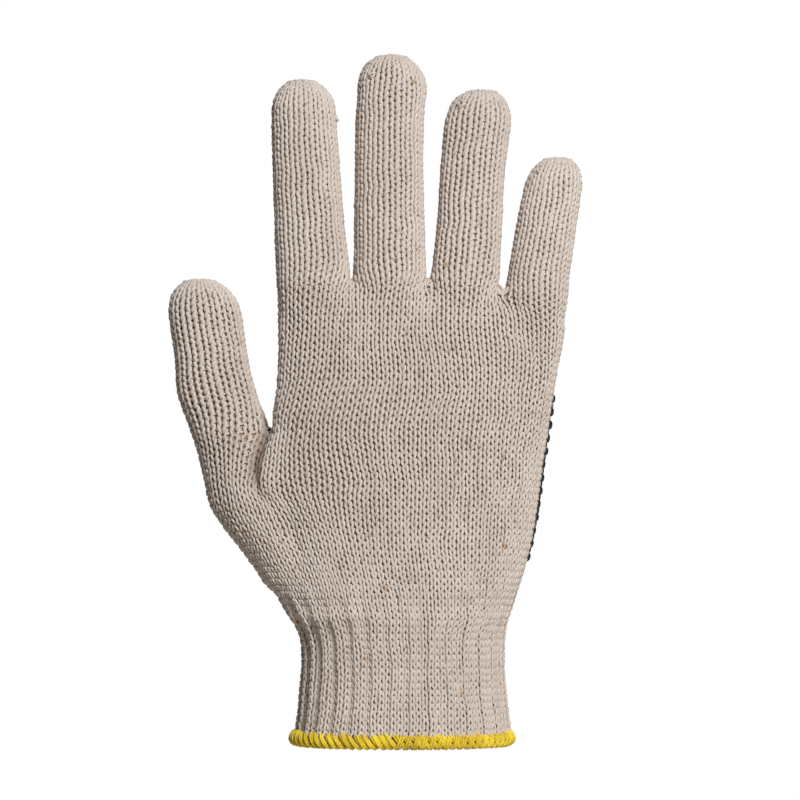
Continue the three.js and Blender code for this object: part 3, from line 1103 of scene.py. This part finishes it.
def hemCrossings():
    paths = []
    radius = hem["radius"]
    first, last = hem["braid"]
    t = np.linspace(0, 1, 9)
    angle = math.pi / 2 * hem["crossTurn"] * (1 - 2 * t)
    start, travel = hem["crossTravel"]
    out, bulge = hem["crossOut"]
    for number in range(round((last - first) * hem["wraps"])):
        for place in hem["crossPlaces"]:
            share = first + (number + place + start - travel * t) / hem["wraps"]
            spot, normal = onHem(share, angle, radius * out + bulge * np.sin(t * math.pi))
            spot += dice.normal(0, hem["crossLoose"], spot.shape)
            paths.append((spot, normal, radius, radius))
    return paths


yellow = yellowYarn()
wrapping, crossing = hemThreads(), hemCrossings()
share = np.arange(120) / 120
coreLine, coreOut = roundHem(hemLine, share), roundHem(hemOut, share)
coreLine[:, 2] = hem["middle"]
wrapping.append((coreLine, coreOut, *hem["roll"][::-1]))
threadPiece("hem_wraps", wrapping, hem["sides"], yellow, ["cuff_hem"], closedPath=True)
threadPiece("hem_crossings", crossing, hem["sides"], yellow, ["cuff_hem"])

# The grip dots on the palm side
dots = {
    "pitch": 4.55,  # along the hand
    "columns": 3.95,
    "radius": 1.6,
    "height": 1.0,
    "sunk": 0.35,
    "firstZ": 65.8,
    "edgeZ": (66, 70, 75, 84, 100, 121, 121.5),
    "edge": (-0.4, -1.1, -1.1, -0.9, -0.6, 0.1, 7.0),  # first column from the side line
    "columnCount": 60,  # more than fit
    "top": 158,
    "split": 109,  # height below which the thumb's side is measured
    "pastFoot": 1.5,
    "frontMost": -0.8,  # dots that face the back of the hand more than this are left out
    "uneven": (0.04, 0.035, 0.08),  # of the size, the rim and the height
    "margin": 3.2,
    "digitSpan": 0.16,  # part of a digit's rim that carries dots, to either side of its middle
    "digitStart": 9,
    "sides": 9,
    "rings": ((1.0, -0.4), (0.93, 0.5), (0.55, 0.92)),
}
dotLook = {"color": (0.014, 0.014, 0.016), "roughness": 0.38}


def dotSpots():
    spots = []
    for column in range(dots["columnCount"]):
        z = dots["firstZ"] + (dots["pitch"] / 2 if column % 2 else 0)
        while z < dots["top"]:
            low = z < dots["split"]
            table, levels = (lowerTable, lowerLevels) if low else (upperTable, upperLevels)
            row = int((z - levels[0]) / (levels[1] - levels[0]))
            inward = np.interp(z, dots["edgeZ"], dots["edge"]) + column * dots["columns"]
            side = 1 if inward > 0 else 0
            length = np.linalg.norm(np.diff(table[row, side], axis=0), axis=1).sum()
            if length - inward > dots["margin"]:
                spot = onContour(table, levels, z, side, 1 - abs(inward) / length)
                spots.append((lowerTree if low else upperTree, spot))
            z += dots["pitch"]
    for name in digitNames:
        sections, fromTip = digitForms[name]
        at, number = dots["digitStart"], 0
        foot = knitPlan["digits"][name]["foot"] + dots["pastFoot"]
        while True:
            z, x, w, d, y = (np.interp(at, fromTip, sections[:, i]) for i in range(5))
            if z < foot:
                break
            step = dots["columns"] / ((w + d) / 2)
            turned = np.arange(-8, 9) * 2 * step + (step if number % 2 else 0)
            for angle in turned[abs(turned) < turn * dots["digitSpan"]]:
                beside = (x + w * math.sin(angle), y + d * math.cos(angle), z)
                spots.append((digitTrees[name], np.array(beside)))
            at += dots["pitch"] / 2
            number += 1
    return spots


def dotPiece():
    black = Nodes(bpy.data.materials.new("blackDots"))
    black.into("Base Color", (*dotLook["color"], 1))
    black.into("Roughness", dotLook["roughness"])
    points, faces = [], []
    sides = dots["sides"]
    angles = turn * np.arange(sides) / sides
    for tree, guess in dotSpots():
        spot, out = nearest(tree, guess)
        if out[1] < dots["frontMost"]:
            continue
        a = unit(np.cross(out, (0, 0, 1.0)) + (1e-6, 0, 0))
        b = np.cross(out, a)
        unevenSize, unevenRim, unevenHeight = dots["uneven"]
        size = dots["radius"] * (1 + dice.normal(0, unevenSize))
        wobble = 1 + dice.normal(0, unevenRim, sides)
        tall = dots["height"] * (1 + dice.normal(0, unevenHeight))
        for reach, rise in dots["rings"]:
            for angle, stray in zip(angles, wobble):
                flat = (a * math.cos(angle) + b * math.sin(angle)) * size * reach * stray
                points.append(spot + flat + out * (tall * rise - dots["sunk"]))
        points.append(spot + out * (tall - dots["sunk"]))
    top = len(dots["rings"]) * sides
    for i in range(top):
        j = i // sides * sides + (i + 1) % sides
        if i < top - sides:
            faces += [(i, j, j + sides), (i, j + sides, i + sides)]
        else:
            faces.append((i, j, top))
    starts = np.arange(0, len(points), top + 1)
    faces = (np.array(faces) + starts[:, None, None]).reshape(-1, 3)
    thing = meshObject("grip_dots", np.array(points), faces, [black.owner])
    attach(thing, "root")
    print("grip_dots:", len(starts), "dots, triangles", len(faces))


dotPiece()


# The closely packed backs of the loops, as one thin skin inside the yarn
def backing():
    depth = {"outside": 0.52, "inside": 0.80}
    largestHole = 12  # edges
    whole = (down >= 0) & (down[right] >= 0) & (right[down] == down[right])
    quads = np.stack([np.arange(count), down, down[right], right], axis=1)[whole]
    bm = bmesh.new()
    verts = [bm.verts.new(point) for point in (stitch - skinNormal * depth["outside"]).tolist()]
    for quad in quads:
        bm.faces.new([verts[i] for i in quad])
    bmesh.ops.holes_fill(bm, edges=bm.edges, sides=largestHole)
    bmesh.ops.triangulate(bm, faces=[face for face in bm.faces if len(face.verts) > 4])
    bmesh.ops.recalc_face_normals(bm, faces=bm.faces)
    for vert in [vert for vert in bm.verts if not vert.link_faces]:
        bm.verts.remove(vert)
    bm.normal_update()
    mesh = bpy.data.meshes.new("knit_backs")
    bmesh.ops.scale(bm, vec=(mm, mm, mm), verts=bm.verts)
    bm.to_mesh(mesh)
    bm.free()
    mesh.materials.append(gapShadow)
    mesh.materials.append(innerCotton)
    thing = linked("knit_backs", mesh)
    thicken = thing.modifiers.new("thicken", "SOLIDIFY")
    thicken.thickness = (depth["inside"] - depth["outside"]) * mm
    thicken.offset = -1
    thicken.material_offset = 1
    thicken.material_offset_rim = 1
    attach(thing, "root")


backing()
print("backs made")

# Camera, floor and light
view = {
    "centre": (-0.7, 0, 120),
    "width": 276,  # what the picture spans at the glove, in millimetres
    "distance": 1700,
    "sensor": 36,
}
camera = linked("camera", bpy.data.cameras.new("camera"))
camera.data.sensor_width = view["sensor"]
camera.data.lens = view["sensor"] * view["distance"] / view["width"]
camera.location = Vector((view["centre"][0], -view["distance"], view["centre"][2])) * mm
camera.rotation_euler = (math.pi / 2, 0, 0)
bpy.context.scene.camera = camera

studio = {
    "floorZ": -70,
    "floor": (700, -700, 620),  # half its width, its near edge and its far edge
    "paper": (0.55, 0.52, 0.475),
    "sky": (0.0, 0.07),  # from the left to the right
    "lamps": {
        "key": {"place": (520, -1400, 1050), "size": 600, "watts": 35.1, "color": (0.97, 1, 1.02)},
        "palmSide": {"place": (0, 1150, 950), "size": 700, "watts": 13, "color": (1, 1, 1)},
    },
}


def paperFloor():
    half, near, far = studio["floor"]
    corners = [(-half, near), (half, near), (half, far), (-half, far)]
    paper = Nodes(bpy.data.materials.new("paper"))
    paper.into("Base Color", (*studio["paper"], 1))
    paper.into("Roughness", 0.9)
    points = [(x, y, studio["floorZ"]) for x, y in corners]
    return meshObject("paper_floor", points, np.array([(0, 1, 2, 3)]), [paper.owner])


paperFloor()
for name, lamp in studio["lamps"].items():
    light = bpy.data.lights.new(name, "AREA")
    light.energy = lamp["watts"]
    light.color = lamp["color"]
    light.size = lamp["size"] * mm
    thing = linked(name, light)
    thing.location = Vector(lamp["place"]) * mm
    aim = Vector(view["centre"]) * mm - thing.location
    thing.rotation_euler = aim.to_track_quat("-Z", "Y").to_euler()


def whiteWorld():
    # Soft light that grows to the right, and plain white where nothing stands in the way
    made = Nodes(bpy.data.worlds.new("world"), "Background")
    generated = made.node("ShaderNodeTexCoord").outputs["Generated"]
    across = made.node("ShaderNodeSeparateXYZ", {0: generated}).outputs["X"]
    seen = made.node("ShaderNodeLightPath").outputs["Is Camera Ray"]
    made.into("Color", (1, 1, 1, 1))
    made.into("Strength", made.math("MAXIMUM", made.ramp(across, -1, 1, *studio["sky"]), seen))
    return made.owner


bpy.context.scene.world = whiteWorld()
bpy.context.scene.view_settings.view_transform = "Standard"
